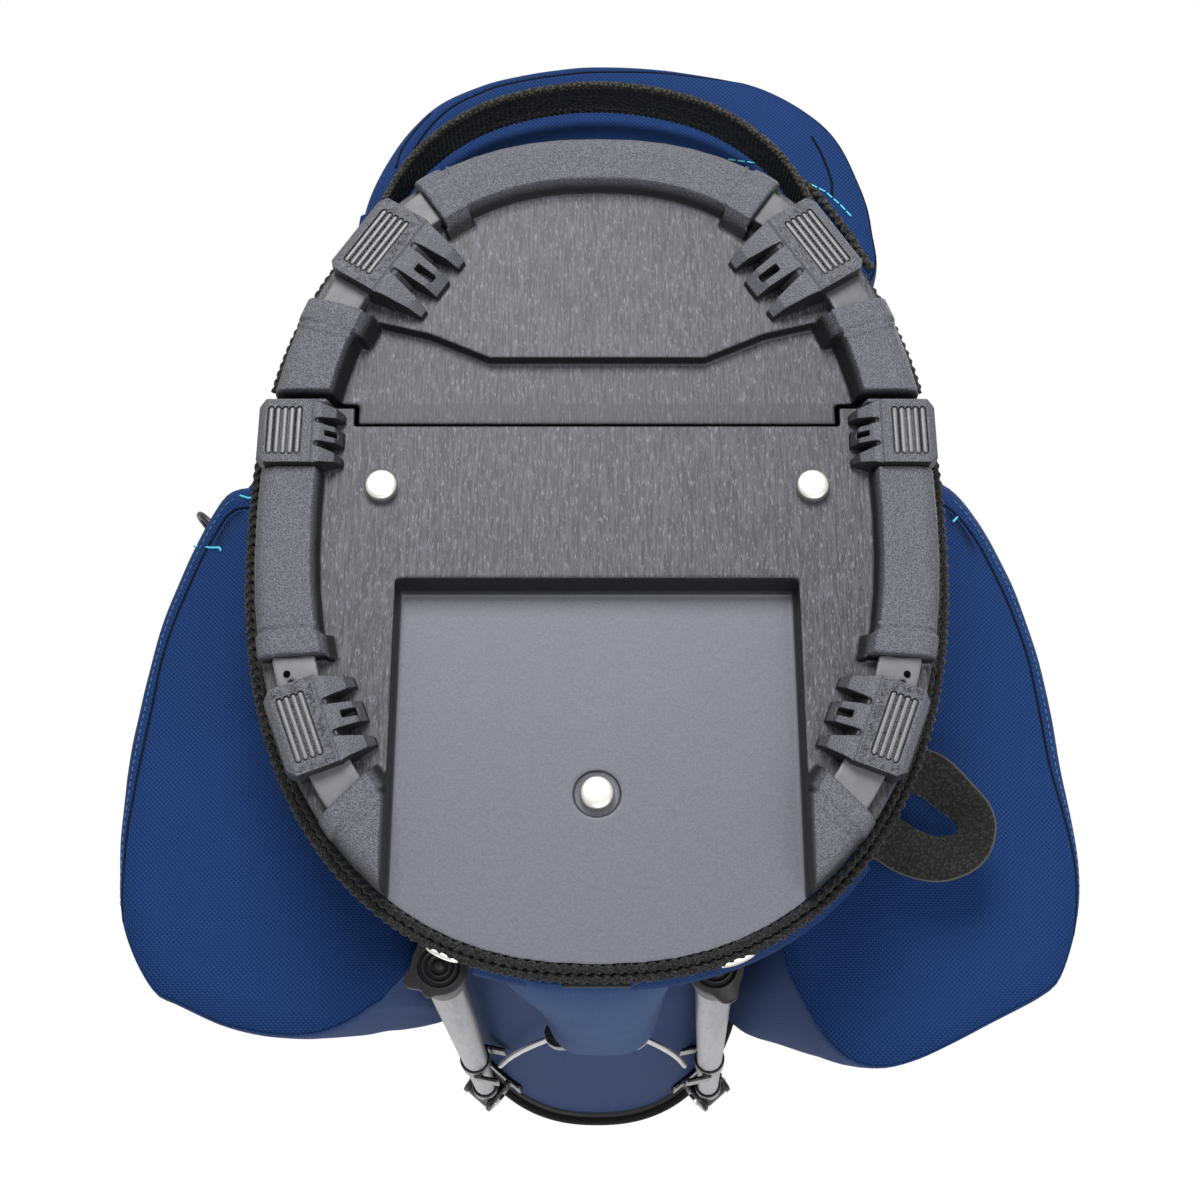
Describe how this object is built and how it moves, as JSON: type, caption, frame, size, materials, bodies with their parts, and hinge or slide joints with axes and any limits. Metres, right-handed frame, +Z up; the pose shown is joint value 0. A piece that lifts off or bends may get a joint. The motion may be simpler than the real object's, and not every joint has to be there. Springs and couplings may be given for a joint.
{
  "type": "golf stand bag",
  "caption": "Upright fabric golf bag on an oval moulded base; a hinged foot plate drives folding legs through a push rod and spreader wires.",
  "frame": {"origin": "centre of the oval base, on the plane that the bag stands on", "axes": "+Z up the bag, -Y the front (leg) side, +X to the right as seen facing the legs"},
  "size_m": [0.3806, 0.425, 0.89],
  "materials": {
    "base_plastic": "fine grained, satin",
    "clip_plastic": "grained, matte",
    "rail_plastic": "smooth, satin",
    "grip_ribs": "smooth, satin",
    "black_plastic": "fine grained, matte",
    "steel": "bright",
    "nickel": "polished nickel",
    "leg_aluminium": "anodised, satin",
    "stay_rod": "glass fibre, gloss",
    "black_cord": "woven, coarse",
    "black_webbing": "ribbed webbing",
    "navy_fabric": "plain weave nylon, dull",
    "stretch_fabric": "fine knit, dull",
    "divider_fabric": "fleece",
    "zip_black": "woven tape with moulded coil",
    "zip_metal": "black, satin",
    "foot_rubber": "matte"
  },
  "bodies": {
    "bag": {"base_tray": "base_plastic", "rear_clip_left": "clip_plastic", "rear_clip_right": "clip_plastic", "rear_rails": "rail_plastic", "rear_grip_ribs": "grip_ribs", "rear_hinge_blocks": "black_plastic", "hinge_pin": "steel", "rear_welt": "black_cord", "lift_handle": "black_webbing", "inner_floor": "black_plastic", "body_tube": "navy_fabric", "stays": "stay_rod", "top_collar": "black_plastic", "collar_dividers": "divider_fabric", "collar_handle": "black_plastic", "leg_bracket_left": "black_plastic", "leg_bracket_right": "black_plastic", "leg_pins": "steel", "rod_guides": "black_plastic", "return_spring": "steel", "side_pocket_left": "navy_fabric", "side_pocket_right": "navy_fabric", "rear_pocket": "navy_fabric", "rod_cover": "stretch_fabric", "bellows": "stretch_fabric", "pocket_zips": "zip_black", "strap_webbing": "black_webbing", "strap_pad": "navy_fabric", "strap_buckles": "black_plastic", "webbing_loop": "black_webbing", "side_ring": "black_plastic"},
    "foot_plate_body": {"foot_plate": "base_plastic", "plate_hinge_blocks": "black_plastic", "mid_clip_left": "clip_plastic", "mid_clip_right": "clip_plastic", "front_clip_left": "clip_plastic", "front_clip_right": "clip_plastic", "front_rails": "rail_plastic", "plate_grip_ribs": "grip_ribs", "base_studs": "nickel", "front_welt": "black_cord", "foot_tabs": "nickel"},
    "actuator": {"push_rod": "steel", "yoke": "black_plastic"},
    "spreader_left": {"wire_left": "steel"},
    "spreader_right": {"wire_right": "steel"},
    "leg_left_body": {"leg_head_left": "black_plastic", "leg_tube_left": "leg_aluminium", "leg_foot_left": "foot_rubber", "wire_slot_left": "black_plastic"},
    "leg_right_body": {"leg_head_right": "black_plastic", "leg_tube_right": "leg_aluminium", "leg_foot_right": "foot_rubber", "wire_slot_right": "black_plastic"},
    "slider_left": {"zip_slider_left": "zip_metal"},
    "slider_right": {"zip_slider_right": "zip_metal"},
    "slider_rear": {"zip_slider_rear": "zip_metal"}
  },
  "joints": [
    {"name": "foot_plate_tilt", "type": "hinge", "parent": "bag", "child": "foot_plate_body", "pos_m": [0, 0.037, 0.025], "axis": [-1, 0, 0], "range_deg": [0, 16], "stiffness_Nm_per_rad": 6, "springref_deg": -34.38, "deforming": ["bellows"]},
    {"name": "push_rod_slide", "type": "slide", "parent": "bag", "child": "actuator", "axis": [0, 0, 1], "range_m": [0, 0.0569], "deforming": ["return_spring"]},
    {"name": "leg_right_swing", "type": "hinge", "parent": "bag", "child": "leg_right_body", "pos_m": [0.084, -0.136, 0.78], "axis": [-0.766, -0.6428, 0], "range_deg": [0, 24.05]},
    {"name": "wire_right_swing", "type": "hinge", "parent": "actuator", "child": "spreader_right", "pos_m": [0.018, -0.16, 0.25], "axis": [0.7275, 0.6697, -0.1494], "range_deg": [0, 27.77]},
    {"name": "leg_left_swing", "type": "hinge", "parent": "bag", "child": "leg_left_body", "pos_m": [-0.084, -0.136, 0.78], "axis": [-0.766, 0.6428, 0], "range_deg": [0, 24.05]},
    {"name": "wire_left_swing", "type": "hinge", "parent": "actuator", "child": "spreader_left", "pos_m": [-0.018, -0.16, 0.25], "axis": [0.7312, -0.6688, 0.134], "range_deg": [0, 28.14]},
    {"name": "zip_left_slide", "type": "slide", "parent": "bag", "child": "slider_left", "axis": [0, 0, 1], "range_m": [0, 0.28]},
    {"name": "zip_right_slide", "type": "slide", "parent": "bag", "child": "slider_right", "axis": [0, 0, 1], "range_m": [0, 0.28]},
    {"name": "zip_rear_slide", "type": "slide", "parent": "bag", "child": "slider_rear", "axis": [0, 0, 1], "range_m": [0, 0.16]}
  ],
  "couplings": [
    {"joint": "push_rod_slide", "follows": "foot_plate_tilt", "m_per_rad": 0.2033},
    {"joint": "leg_right_swing", "follows": "foot_plate_tilt", "ratio": 1.5},
    {"joint": "wire_right_swing", "follows": "foot_plate_tilt", "ratio": 1.7326},
    {"joint": "leg_left_swing", "follows": "foot_plate_tilt", "ratio": 1.5},
    {"joint": "wire_left_swing", "follows": "foot_plate_tilt", "ratio": 1.7554}
  ]
}
